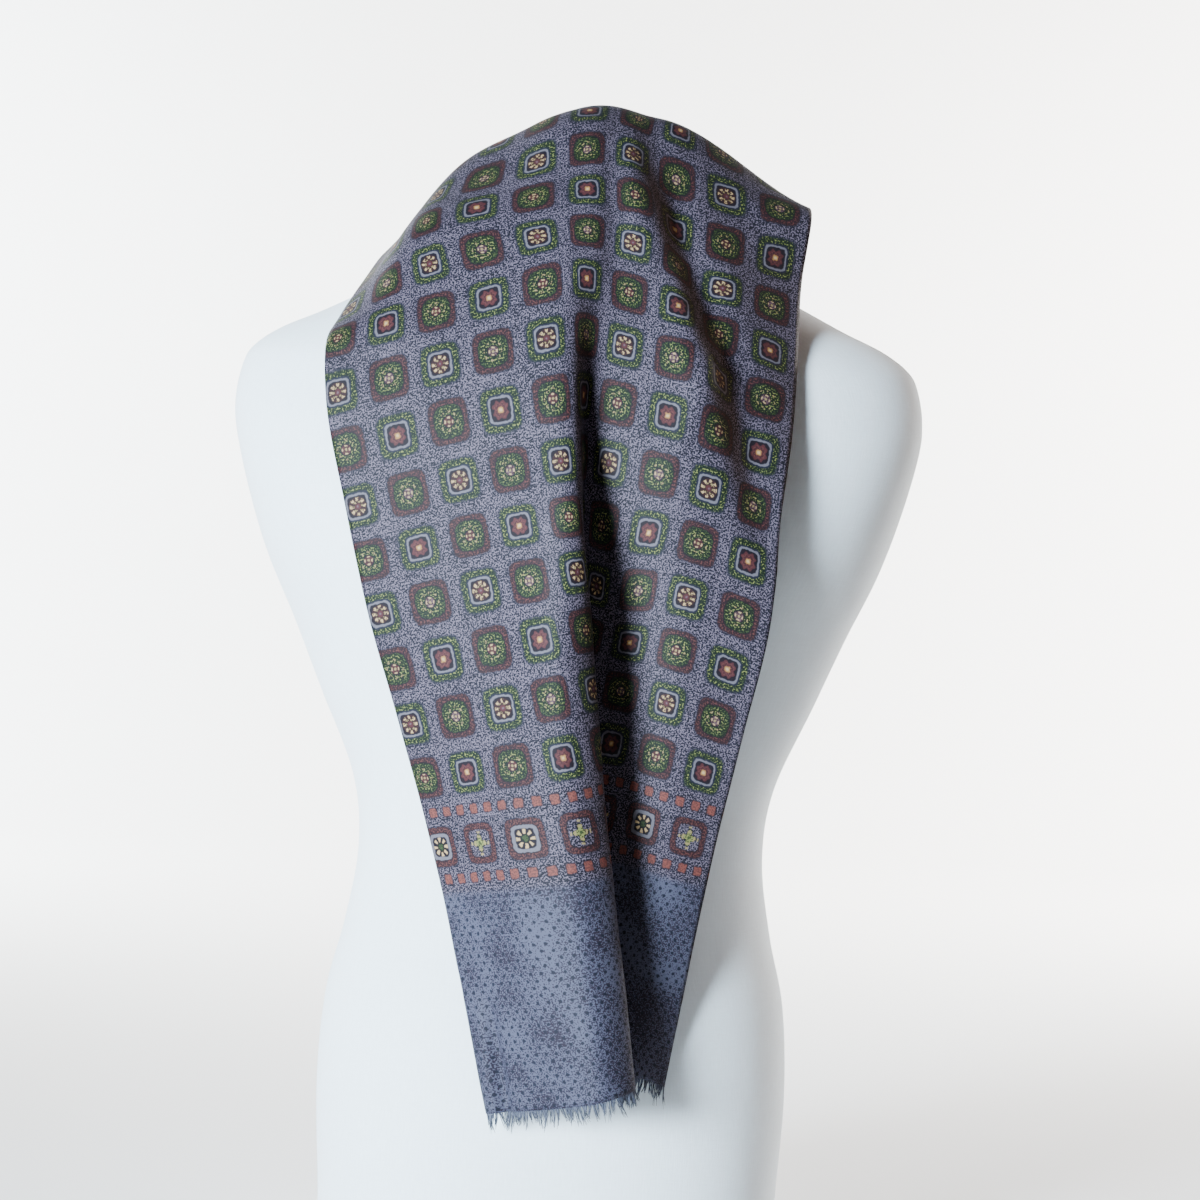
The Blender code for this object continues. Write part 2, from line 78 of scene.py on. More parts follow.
# ---- how the frayed threads fall
HEM_STEP = 0.004  # distance inside the hem at which its direction is read
THREAD_ROOT = 0.0015  # length of a thread inside the hem
THREAD_SIDES = 4  # faces round a thread
THREAD_RINGS = 6  # rings of points along it
TIP_SHARE = 0.35  # a thread's radius at its tip, as a share of the root's
FALL_ALONG_CLOTH = 0.7  # share of a thread's direction that follows the cloth
FALL_DOWN = 0.3  # and the share that hangs straight down
CLUMP_SIZE = (4, 9)  # threads that cling together
CLUMP_LEAN = (-0.32, 0.32)  # ranges of a clump's lean, sideways and outwards, and of its length
CLUMP_OUT = (-0.25, 0.30)
CLUMP_LENGTH = (0.62, 1.15)
OWN_LENGTH = (0.70, 1.12)  # ranges by which one thread differs from its clump
OWN_GATHER = (0.45, 1.05)  # how far its tip draws in to the clump's middle
OWN_LEAN = (-0.10, 0.10)
OWN_OUT = (-0.16, 0.16)
OWN_CURL = (-0.06, 0.06)
OWN_RADIUS = (0.7, 1.15)
FLAT_PITCH, FLAT_STEP = 0.01, 0.002  # where a thread lies when laid flat, for its grain

# ---- the studio
FORM_MIDDLE = (0.0, 0.0, 0.34)  # what the two front lights face
KEY_PLACE = (-1.48, -1.95, 0.60)
KEY_SIZE, KEY_SPREAD = 0.9, 44  # metres across, degrees
KEY_COLOUR = (0.76, 0.89, 1.0)
FILL_PLACE = (2.1, 0.5, 1.7)
FILL_SIZE, FILL_SPREAD = 1.4, 60
FILL_COLOUR = (1.0, 0.70, 0.56)
BACKDROP_PLACE, BACKDROP_TARGET = (1.9, 1.8, 1.3), (0.4, 3.0, 0.0)  # the right one's
BACKDROP_SIZE, BACKDROP_SPREAD = 1.2, 180
BACKDROP_COLOURS = {-1: (0.92, 0.98, 1.0), 1: (1.0, 0.95, 0.90)}  # left and right
SKY_COLOUR = (0.93, 0.95, 1.0, 1)
CAMERA_X, CAMERA_Z = 0.0164, 0.3767  # where the camera stands beside and above the origin
SEEN_WIDTH = 0.6852  # width of the frame at the form's middle plane
SENSOR = 36.0  # mm


def table(columns, rows, plain=()):
    """A short table of lengths in mm, as one array in metres for each column but the plain ones."""
    return {name: column if name in plain else column / 1000
            for name, column in zip(columns.split(), np.array(rows).T)}


FORM = table("z half_width front back squareness", [
    (0, 128, 92, 104, 2.3),  # flat base
    (40, 130, 96, 108, 2.3),
    (100, 133, 98, 108, 2.3),  # hip
    (150, 130, 94, 100, 2.3), (190, 121, 86, 86, 2.2),
    (233, 115, 82, 78, 2.2),  # waist
    (273, 120, 84, 80, 2.2), (320, 140, 92, 86, 2.2), (360, 157, 102, 92, 2.2),
    (395, 173, 108, 95, 2.3),  # bust
    (430, 185, 103, 96, 2.4), (465, 194, 92, 94, 2.4),
    (485, 195.5, 85, 90, 2.3),  # shoulder tips
    (504, 192, 79, 85, 2.2), (514, 186, 75, 82, 2.1), (524, 172, 71, 78, 2.0), (534, 150, 67, 73, 2.0),
    (545, 128, 63, 68, 2.0), (558, 102, 59, 63, 2.0), (572, 78, 55, 59, 2.0),
    (586, 60, 53, 56, 2.0),  # foot of the neck
    (602, 50, 49, 51, 2.0), (618, 47.5, 44, 49, 2.0), (630, 43, 39, 45, 2.0), (639, 35, 31, 37, 2.0),
    (645, 25, 25, 27, 2.0),
    (648.5, 13, 13, 14, 2.0),  # domed top of the neck block
], plain=["squareness"])

LEFT_EDGE = table("v x y z", [
    (0, -32, -108, 101), (144, -68, -97, 240), (213, -88, -95, 304), (274, -107, -95, 362),
    (335, -122, -93, 419), (396, -136, -88, 480), (424, -138, -80, 508),
    (455, -133, -57, 525),  # turns under, behind the slanting top fold
    (490, -122, -36, 549),
    (530, -112, -3, 570),  # crosses the shoulder
    (575, -104, 34, 570), (620, -97, 66, 546), (665, -93, 88, 516), (720, -88, 106, 468),
    (820, -84, 113, 370), (940, -80, 118, 251), (1067, -76, 124, 125),
])
LEFT_BELLY = table("v x y z", [  # halfway from the left edge to the crest
    (0, 8, -134, 110), (144, -25, -130, 249), (213, -33, -130, 317), (274, -45, -124, 379),
    (335, -58, -118, 437), (396, -69, -103, 500), (440, -73, -82, 542), (480, -80, -57, 579),
    (518, -77, -24, 602), (555, -65, 12, 629), (600, -64, 52, 592), (650, -54, 82, 558),
    (720, -46, 106, 495), (820, -38, 122, 398), (940, -34, 130, 279), (1067, -30, 134, 153),
])
CREST = table("v u x y z", [  # outer fold of the long pleat
    (0, 102, 49, -132, 122), (144, 121, 29, -128, 259), (213, 133, 20, -137, 331),
    (274, 138, 12, -143, 392), (335, 141, 4, -140, 450), (396, 148, 0, -120, 518),
    (440, 153, 0, -99, 563), (480, 158, 0, -74, 596), (518, 158, 0, -46, 625),
    (555, 158, -2, -12, 656),  # over the neck block
    (600, 158, 0, 29, 652), (650, 154, 0, 67, 619), (720, 142, 4, 98, 556), (820, 130, 10, 130, 461),
    (940, 124, 14, 142, 342), (1067, 120, 18, 148, 216),
])
ROLL = table("v width slope", [  # where the cloth rounds over before the crest
    (0, 26, 40), (144, 26, 40), (235, 26, 40), (300, 14, 30), (345, 6, 20), (400, 4, 10), (650, 4, 0),
    (820, 12, 10), (1067, 14, 10),
], plain=["slope"])  # the slope is in degrees
OUTLET = table("v u x y z", [  # where the tucked cloth comes out again
    (0, 280, 49, -106, 124), (144, 230, 28, -98, 263), (213, 208, 19, -100, 330),
    (274, 192, 13, -104, 382), (335, 172, 2, -110, 452), (396, 168, 4, -99, 517),
    (440, 172, 10, -92, 560), (480, 180, 18, -78, 595), (518, 185, 20, -48, 628),
    (555, 188, 26, -12, 656), (600, 190, 28, 29, 648), (650, 196, 28, 66, 616), (720, 206, 24, 90, 552),
    (820, 216, 20, 104, 454), (940, 222, 20, 112, 335), (1067, 226, 22, 116, 208),
])
RIGHT_BELLY = table("v x y z", [  # halfway from the outlet to the right edge
    (0, 55, -102, 121), (144, 55, -104, 255), (213, 56, -114, 323), (274, 57, -121, 382),
    (335, 58, -126, 441), (396, 62, -113, 503), (440, 64, -89, 541), (480, 67, -72, 569),
    (518, 68, -43, 604), (555, 68, -10, 640), (600, 67, 32, 628), (650, 62, 68, 596),
    (720, 60, 94, 532), (820, 58, 112, 434), (940, 58, 122, 315), (1067, 58, 130, 188),
])
RIGHT_EDGE = table("v x y z", [
    (0, 62, -96, 117), (144, 84, -94, 248), (213, 96, -106, 309), (274, 107, -113, 365),
    (335, 111, -110, 425), (396, 117, -82, 483), (440, 119, -62, 522), (480, 121, -43, 559),
    (518, 126, -29, 597),  # stands out in the air, clear of the shoulder
    (560, 121, 10, 604), (600, 110, 46, 594), (650, 99, 80, 562), (720, 92, 106, 502),
    (820, 88, 116, 404), (940, 84, 122, 285), (1067, 80, 128, 159),
])
EASE = table("v reach", [  # how far each bend is rounded, along the cloth
    (0, 22), (200, 24), (400, 29), (460, 38), (650, 38), (820, 21), (1067, 16),
])
FOLDS = table("u_start v_start u_end v_end height half_width", [  # soft troughs and ridges
    (187, 575, 298, 305, -7, 14), (165, 545, 290, 285, 4, 15), (176, 555, 180, 420, -4, 9),
    (26, 410, 82, 575, 6, 30), (110, 640, 70, 860, -5, 17), (240, 620, 262, 900, -5, 17),
])
CREASES = table("u_start v_start u_end v_end height half_width", [  # finer ones, drawn here only
    (11, -30, 18, 70, -4, 4), (3, -30, 10, 60, 2, 4), (0, 62, 22, 104, -0.8, 5),
    (10, 240, 60, 330, 0.6, 8), (60, 130, 52, 300, 0.6, 10), (224, 330, 262, 470, 1.2, 6),
    (250, 420, 296, 380, -1.2, 5), (206, 420, 232, 560, -1, 6), (240, 540, 288, 500, 1, 5),
])


# ---- the dress form's surface
def smooth_row(stations, rows, place):
    """A smooth curve through rows of numbers that stand at the stations, read at one place."""
    slopes = np.gradient(rows, stations, axis=0)
    k = int(np.clip(np.searchsorted(stations, place) - 1, 0, len(rows) - 2))
    span = stations[k + 1] - stations[k]
    w = (place - stations[k]) / span
    return ((1 + 2 * w) * (1 - w) ** 2 * rows[k] + w * (1 - w) ** 2 * span * slopes[k]
            + w * w * (3 - 2 * w) * rows[k + 1] + w * w * (w - 1) * span * slopes[k + 1])


def curve_at(line, v, columns):
    """A guide line of the cloth, read at the length v."""
    return smooth_row(line["v"], np.stack([line[name] for name in columns], axis=1), v)


@functools.cache
def form_rings(count):
    """Rings of the form: the table's rows with smooth ones between them, as columns."""
    rows = np.stack(list(FORM.values()), axis=1)
    places = np.linspace(0, len(rows) - 1, count)
    return np.array([smooth_row(np.arange(len(rows)), rows, place) for place in places]).T


def form_reach(points):
    """How far points lie outside the form, measured level and roughly."""
    heights, *columns = form_rings(FORM_RINGS)
    half_width, front, back, squareness = [np.interp(points[..., 2], heights, c) for c in columns]
    depth = np.where(points[..., 1] < 0, front, back)
    across = np.abs(points[..., 0]) / half_width
    along = np.abs(points[..., 1]) / depth
    ratio = (across ** squareness + along ** squareness) ** (1 / squareness)
    level = (ratio - 1) * np.minimum(half_width, depth)
    return np.maximum(level, points[..., 2] - FORM["z"][-1])


def form_distance(points):
    """True distance of points near the form's surface."""
    slope = np.stack([(form_reach(points + axis) - form_reach(points - axis)) / (2 * FORM_STEP)
                      for axis in np.eye(3) * FORM_STEP], axis=-1)
    return form_reach(points) / np.maximum(np.linalg.norm(slope, axis=-1), SHORTEST)


# ---- the cloth's middle surface
def section(v):
    """Corners of the cross-section at v: their u, and where they are."""
    left, belly, right_belly, right = [curve_at(line, v, "xyz")
                                       for line in (LEFT_EDGE, LEFT_BELLY, RIGHT_BELLY, RIGHT_EDGE)]
    crest_u, *crest = curve_at(CREST, v, "uxyz")
    outlet_u, *outlet = curve_at(OUTLET, v, "uxyz")
    crest, outlet = np.array(crest), np.array(outlet)

    tucked = min(outlet_u - crest_u, LONGEST_TUCK)
    in_front = v < PLEAT_TURNS_TO_BACK
    turn = TUCK_ANGLE if in_front else -TUCK_ANGLE
    x, y, z = belly - crest
    along = np.array([x * math.cos(turn) + y * math.sin(turn), y * math.cos(turn) - x * math.sin(turn),
                      0 if in_front else z])
    along /= np.linalg.norm(along)
    depth = min(FOLD_DEPTH, tucked * FOLD_SHARE)
    under = crest + depth * math.copysign(1, turn) * np.array([along[1], -along[0], 0])
    left_over = tucked - depth
    width = np.interp(v, ROLL["v"], ROLL["width"])
    slope = math.copysign(math.radians(np.interp(v, ROLL["v"], ROLL["slope"])), turn)
    rise = (crest[2] - belly[2]) / (crest_u / 2)
    roll = crest - width * np.array([math.cos(slope), math.sin(slope), rise])
    across = outlet - under
    reach = max((left_over ** 2 - across @ across) / (2 * (left_over - along @ across)), 0.0)
    inner = under + reach * along
    inner_u = crest_u + (outlet_u - crest_u) * min((depth + reach) / tucked, 1.0)

    corners_u = [0, crest_u / 2, crest_u - width, crest_u, crest_u + depth, inner_u, outlet_u,
                 (outlet_u + CLOTH_WIDTH) / 2, CLOTH_WIDTH]
    return np.array(corners_u), np.array([left, belly, roll, crest, under, inner, outlet, right_belly,
                                          right])


def eased_section(v, u_values):
    """Points of the cross-section at v, with every bend rounded by averaging along the path."""
    corners_u, corners = section(v)
    path = np.concatenate([[0], np.cumsum(np.linalg.norm(np.diff(corners, axis=0), axis=1))])
    kept = np.concatenate([[True], np.diff(path) > SHORTEST])
    path_kept, corners_kept = path[kept], corners[kept]
    first = (corners_kept[1] - corners_kept[0]) / (path_kept[1] - path_kept[0])
    last = (corners_kept[-1] - corners_kept[-2]) / (path_kept[-1] - path_kept[-2])

    window = np.linspace(-1, 1, AVERAGING_POINTS)
    weight = np.cos(window * math.pi / 2) ** 2
    weight /= weight.sum()
    reach = np.interp(v, EASE["v"], EASE["reach"])
    place = np.interp(u_values, corners_u, path)[:, None] + window * reach
    inside = np.clip(place, 0, path[-1])
    points = np.stack([np.interp(inside, path_kept, corners_kept[:, k]) for k in range(3)], axis=-1)
    points += np.minimum(place, 0)[..., None] * first
    points += np.maximum(place - path[-1], 0)[..., None] * last
    return (points * weight[:, None]).sum(axis=1)


def draped(u_values, v_values):
    """The cloth before its soft folds: points for each u and v."""
    return np.stack([eased_section(v, u_values) for v in v_values], axis=1)


def away_from_body(u_values, v_values):
    """Unit normals of the draped cloth, on its outer side."""
    across = draped(u_values + NORMAL_STEP, v_values) - draped(u_values - NORMAL_STEP, v_values)
    along = draped(u_values, v_values + NORMAL_STEP) - draped(u_values, v_values - NORMAL_STEP)
    normal = np.cross(across, along)
    return normal / np.linalg.norm(normal, axis=-1, keepdims=True)


def fold_height(folds, u, v):
    """Height of soft folds at u, v: each fades out at its ends and its sides."""
    height = np.zeros(np.broadcast(u, v).shape)
    for k in range(len(folds["height"])):
        start = np.array([folds["u_start"][k], folds["v_start"][k]])
        run = np.array([folds["u_end"][k], folds["v_end"][k]]) - start
        share = ((u - start[0]) * run[0] + (v - start[1]) * run[1]) / (run @ run)
        away = ((u - start[0]) * run[1] - (v - start[1]) * run[0]) / np.linalg.norm(run)
        ends = np.sin(math.pi * np.clip(share, 0, 1)) ** FOLD_FADE
        height += folds["height"][k] * ends * np.exp(-(away / folds["half_width"][k]) ** 2)
    return height


@functools.cache
def lift_off_form():
    """How far each point of a fixed grid moves out to clear the form, eased round the contact."""
    u_values = np.linspace(0, CLOTH_WIDTH, LIFT_CELLS_ACROSS + 1)
    v_values = np.linspace(0, CLOTH_LENGTH, LIFT_CELLS_ALONG + 1)
    outwards = away_from_body(u_values, v_values)
    height = fold_height(FOLDS, u_values[:, None], v_values[None, :])
    start = draped(u_values, v_values) + outwards * height[..., None]
    need = CLOTH_WALL / 2 + SEAT_GAP
    lift = np.zeros(height.shape)
    for _ in range(LIFT_ROUNDS):
        lift += np.maximum(need - form_distance(start + outwards * lift[..., None]), 0)
    for _ in range(LIFT_EASING_ROUNDS):
        for axis in (0, 1):
            padded = np.pad(lift, [(1, 1) if axis == side else (0, 0) for side in (0, 1)], mode="edge")
            before, after = np.split(padded, [2], axis)[1], np.split(padded, [-2], axis)[0]
            lift = np.maximum(lift, (before + after) / 2)
    return u_values, v_values, lift


def ripple(u, v):
    """Barely raised unevenness of cloth that has been folded and worn."""
    wide = np.sin(23 * u + 9 * v + 0.6) * np.sin(17 * v - 31 * u + 1.9)
    fine = np.sin(71 * u - 43 * v + 2.2) * np.sin(57 * v + 38 * u + 0.4)
    return WIDE_RIPPLE * wide + FINE_RIPPLE * fine


def cloth_grid(u_values, v_values):
    """Middle surface of the cloth: points for each u and v."""
    lift_u, lift_v, lift = lift_off_form()
    by_row = np.array([np.interp(u_values, lift_u, lift[:, j]) for j in range(len(lift_v))])
    lifted = np.array([np.interp(v_values, lift_v, by_row[:, i]) for i in range(len(u_values))])
    u, v = u_values[:, None], v_values[None, :]
    height = fold_height(FOLDS, u, v) + lifted + fold_height(CREASES, u, v) + ripple(u, v)
    return draped(u_values, v_values) + away_from_body(u_values, v_values) * height[..., None]


# ---- shader nodes
THREAD_RELIEF = 0.0004  # height of the thread grain's bump
THREADS_ALONG, THREADS_ACROSS = 0.65, 0.35  # how much each way of the grain counts
JERSEY_SHADE = 0.9  # painted shade between the jersey's threads: its brightness there, as a share of the threads'
PRINT_SHADE = 0.22  # painted shade: how far the print darkens between its threads
# colour of the painted shade between the print's threads
PAINTED_THREAD_SHADE = (0.02, 0.02, 0.03, 1)


class Wire:
    """A number that a shader works out, so that a pattern can be written as plain sums."""

    def __init__(self, tree, socket):
        self.tree = tree
        self.socket = socket

    def through(self, operation, *others):
        """The result of a Math node."""
        node = self.tree.nodes.new("ShaderNodeMath")
        node.operation = operation
        for place, value in zip(node.inputs, (self, *others)):
            plug(self.tree, value, place)
        return Wire(self.tree, node.outputs[0])

    __add__ = functools.partialmethod(through, "ADD")
    __sub__ = functools.partialmethod(through, "SUBTRACT")
    __mul__ = functools.partialmethod(through, "MULTIPLY")
    __truediv__ = functools.partialmethod(through, "DIVIDE")
    __pow__ = functools.partialmethod(through, "POWER")
    __abs__ = functools.partialmethod(through, "ABSOLUTE")
    least = functools.partialmethod(through, "MINIMUM")

    def flipped(self):
        """One less this number."""
        return (self * -1) + 1

    def below(self, edge, soft):
        """1 where the number lies below the edge and 0 above it, with a soft step."""
        node = self.tree.nodes.new("ShaderNodeMapRange")
        node.interpolation_type = "SMOOTHSTEP"
        values = (self, edge - soft, edge + soft, 1.0, 0.0)
        for name, value in zip(("Value", "From Min", "From Max", "To Min", "To Max"), values):
            plug(self.tree, value, node.inputs[name])
        return Wire(self.tree, node.outputs["Result"])

    def above(self, edge, soft):
        """0 below the edge and 1 above it, with a soft step."""
        return self.below(edge, soft).flipped()

    def near(self, middle, half_width, soft):
        """1 within half_width of the middle."""
        return abs(self - middle).below(half_width, soft)


def plug(tree, value, place):
    """Feed a socket from a Wire, another socket or a plain value."""
    value = value.socket if isinstance(value, Wire) else value
    if isinstance(value, bpy.types.NodeSocket):
        tree.links.new(value, place)
    else:
        place.default_value = value


def noise(tree, vector, scale, detail=1.0, roughness=0.5):
    """A noise texture: its value and its colour."""
    node = tree.nodes.new("ShaderNodeTexNoise")
    for name, value in zip(("Vector", "Scale", "Detail", "Roughness"), (vector, scale, detail, roughness)):
        plug(tree, value, node.inputs[name])
    return Wire(tree, node.outputs["Fac"]), node.outputs["Color"]


def mixed(tree, share, under, over):
    """The colour under, covered by the colour over where the share is 1."""
    node = tree.nodes.new("ShaderNodeMix")
    node.data_type = "RGBA"
    plug(tree, share, node.inputs["Factor"])
    plug(tree, under, node.inputs["A"])
    plug(tree, over, node.inputs["B"])
    return node.outputs["Result"]


def parts_of(tree, vector):
    """The numbers x, y and z of a vector."""
    node = tree.nodes.new("ShaderNodeSeparateXYZ")
    plug(tree, vector, node.inputs[0])
    return [Wire(tree, output) for output in node.outputs]


def vector_of(tree, x, y, z=0.0):
    """A vector made of three numbers."""
    node = tree.nodes.new("ShaderNodeCombineXYZ")
    for place, value in zip(node.inputs, (x, y, z)):
        plug(tree, value, place)
    return node.outputs[0]


def new_group(name, inputs, outputs):
    """An empty shader group with its sockets, and the nodes that stand for them."""
    tree = bpy.data.node_groups.new(name, "ShaderNodeTree")
    for socket, kind, value in inputs:
        made = tree.interface.new_socket(socket, in_out="INPUT", socket_type=kind)
        if value is not None:
            made.default_value = value
    for socket, kind in outputs:
        tree.interface.new_socket(socket, in_out="OUTPUT", socket_type=kind)
    return tree, tree.nodes.new("NodeGroupInput").outputs, tree.nodes.new("NodeGroupOutput").inputs


def weave_group():
    """Grain of woven or knitted cloth: uneven threads one way and, more faintly, the other."""
    tree, given, result = new_group(
        "thread grain",
        [("Laid Flat", "NodeSocketVector", None), ("Threads", "NodeSocketFloat", 1500.0),
         ("Slub Length", "NodeSocketFloat", 12.0)],
        [("Height", "NodeSocketFloat"), ("Shade", "NodeSocketFloat")])
    x, y, _ = parts_of(tree, given["Laid Flat"])
    threads, slub = Wire(tree, given["Threads"]), Wire(tree, given["Slub Length"])
    along, _ = noise(tree, vector_of(tree, x * threads, y * threads / slub), 1.0, 1.0)
    across, _ = noise(tree, vector_of(tree, x * threads / slub, y * threads, 7.3), 1.0, 1.0)
    height = along * THREADS_ALONG + across * THREADS_ACROSS
    plug(tree, height, result["Height"])
    # Shade: the grain's height, stretched. The materials use it to paint shade between the threads into
    # their colour, and the print also uses it for roughness.
    plug(tree, (height - 0.5) * 2.0 + 0.5, result["Shade"])
    return tree


PITCH = 30.5  # mm between the middles of printed squares
FIRST_COLUMN = 7.3  # mm from the left edge to the first column
FIRST_ROW = 183.0  # mm from the hem to the first full row
BORDER_ROW = 144.0  # mm from the hem to the row of the border
PANEL_EDGE = 118.0  # mm from the hem to where the plainer end panel stops
DOT_ROW, DOT_PITCH = 3.9, 6.4  # mm between the panel's rows of dots, and between dots in a row
CHIPS_ABOVE, CHIPS_BELOW = 19.0, 18.0  # mm from the border's middle to its rows of small squares
WOBBLE = 1.3  # mm by which the print's edges waver
GRAIN_SCALE, FLECK_SCALE, CLOUD_SCALE, BLOT_SCALE, WOBBLE_SCALE = 1080.0, 1020.0, 38.0, 260.0, 480.0


def lattice(value, first, pitch):
    """Which cell a length falls in, counted from the first, and how far from its middle."""
    cell = ((value - first) / pitch).through("ROUND")
    return cell, value - first - cell * pitch


def is_odd(cell):
    """1 for odd cells and 0 for even ones."""
    return (cell * 0.5).through("FRACT") * 2


class Layers:
    """A colour with further colours laid over it."""

    def __init__(self, tree, colour):
        self.tree = tree
        self.colour = colour

    def lay(self, share, colour):
        """Cover what is there with a colour where the share is 1."""
        self.colour = mixed(self.tree, share, self.colour, colour)
        return self


class Square:
    """Where a point lies in one square of the print, in mm from the square's middle.

    The reach is measured to a rounded square's outline, and the radius to a circle's.
    """

    def __init__(self, across, along, sharpness=5.0):
        self.reach = (abs(across) ** sharpness + abs(along) ** sharpness) ** (1 / sharpness)
        self.radius = (across ** 2 + along ** 2) ** 0.5
        self.angle = along.through("ARCTAN2", across)

    def waves(self, count, height, turn=0.0):
        """A height that rises and falls round the middle."""
        return (self.angle * count + turn).through("COSINE") * height

    def beads(self, count, middle, half_width, turn=0.0):
        """A ring of drawn-out dots."""
        return self.waves(count, 1.0, turn).above(0.05, 0.35) * self.radius.near(middle, half_width, 0.3)


# The squares are drawn from the outside in. A size is in mm from the square's middle, and the
# number after it is how soft its edge is.
def green_square(tree, ink, square, flecks, flowered):
    """A leafy green frame and a pale ring, round a lobed flower or a ring of beads."""
    leaves = Layers(tree, ink.green).lay(flecks.above(0.53, 0.05), ink.leaf)
    leaves.lay(flecks.above(0.615, 0.03), ink.moss)
    leaves.lay(square.reach.near(11.3, 0.6, 0.5) * 0.75, ink.ink)
    leaves.lay(square.reach.below(7.9, 0.35), ink.ink)
    leaves.lay(square.reach.below(6.9, 0.3), ink.ring)
    leaves.lay(square.reach.below(5.8, 0.3), ink.soot)

    petal = square.radius + square.waves(4, 0.45) + square.waves(8, 0.50)
    flower = Layers(tree, ink.soot).lay(petal.below(4.6, 0.3), ink.rust)
    flower.lay(petal.below(3.6, 0.5) * flecks.above(0.47, 0.06), ink.ember)
    flower.lay(petal.near(2.5, 0.35, 0.25) * 0.8, ink.brown)
    flower.lay(square.reach.below(1.5, 0.25), ink.amber)
    flower.lay(square.reach.below(0.8, 0.3), ink.cream)

    beaded = Layers(tree, ink.soot).lay(square.radius.below(5.2, 0.3), ink.brown)
    beaded.lay(square.beads(8, 4.0, 0.85, 0.5) * flecks.above(0.44, 0.04), ink.cream)
    beaded.lay(square.beads(6, 2.6, 0.45) * flecks.below(0.55, 0.04), ink.sand)
    beaded.lay(square.radius.below(1.7, 0.3), ink.rust).lay(square.radius.below(0.6, 0.25), ink.mauve)
    heart = mixed(tree, flowered, beaded.colour, flower.colour)
    return leaves.lay(square.reach.below(5.3, 0.2), heart).colour


def brick_square(tree, ink, square, flecks, grain, rosy):
    """A dull red frame round a speckled green wreath and a small flower."""
    brick = Layers(tree, ink.brick).lay(flecks.above(0.49, 0.05), ink.brick_dark)
    brick.lay(flecks.below(0.41, 0.04) * square.reach.above(8.6, 0.6), ink.clay)
    brick.lay(square.reach.near(11.0, 0.4, 0.4) * 0.7, ink.brick_dark)
    wreath_reach = square.radius * 0.40 + square.reach * 0.60
    brick.lay(wreath_reach.below(8.9, 0.4), ink.soot)
    wreath = Layers(tree, ink.green).lay(flecks.above(0.54, 0.04), ink.leaf)
    wreath.lay(flecks.above(0.615, 0.03) * square.radius.below(7.6, 0.8), ink.moss)
    wreath.lay(square.beads(8, 5.0, 0.45, 1.2) * flecks.above(0.50, 0.04), ink.sand)
    brick.lay(wreath_reach.below(8.4, 0.35), wreath.colour)
    brick.lay(square.radius.below(3.3, 0.3), ink.soot)
    middle = Layers(tree, ink.brown)
    middle.lay(grain.above(0.5, 0.08), mixed(tree, rosy, ink.rust, ink.mauve))
    middle.lay(square.beads(4, 2.1, 0.35, 0.4), ink.cream).lay(square.radius.below(0.7, 0.3), ink.sand)
    return brick.lay(square.radius.below(2.7, 0.3), middle.colour).colour


def border_square(tree, ink, square, flecks, ground, ringed):
    """A thinner red frame round a ringed flower or a small cross on the open ground."""
    framed = Layers(tree, ink.brick).lay(flecks.above(0.52, 0.08), ink.brick_dark)
    framed.lay(flecks.below(0.44, 0.05), ink.clay)
    framed.lay(square.reach.near(11.1, 0.4, 0.4) * 0.8, ink.brick_dark)
    framed.lay(square.reach.below(7.9, 0.35), ink.brick_dark)
    flower = Layers(tree, ink.ring).lay(square.reach.below(5.4, 0.25), ink.soot)
    flower.lay(square.beads(8, 3.9, 1.25), ink.cream)
    flower.lay(square.radius.below(2.2, 0.35), ink.green)
    flower.lay(square.radius.below(1.6, 0.3) * flecks.above(0.45, 0.06), ink.leaf)
    cross = square.radius + square.waves(4, 1.3, math.pi)
    crossed = Layers(tree, ground).lay(cross.below(4.0, 0.4), ink.soot)
    crossed.lay(cross.below(3.4, 0.3) * flecks.above(0.44, 0.06), ink.moss)
    crossed.lay(square.beads(4, 3.6, 0.5), ink.sand)
    crossed.lay(square.beads(4, 6.1, 0.5) * square.waves(4, 1.0).above(0.8, 0.1), ink.sand)
    crossed.lay(square.radius.below(0.9, 0.3), ink.leaf)
    heart = mixed(tree, ringed, crossed.colour, flower.colour)
    return framed.lay(square.reach.below(7.3, 0.25), heart).colour


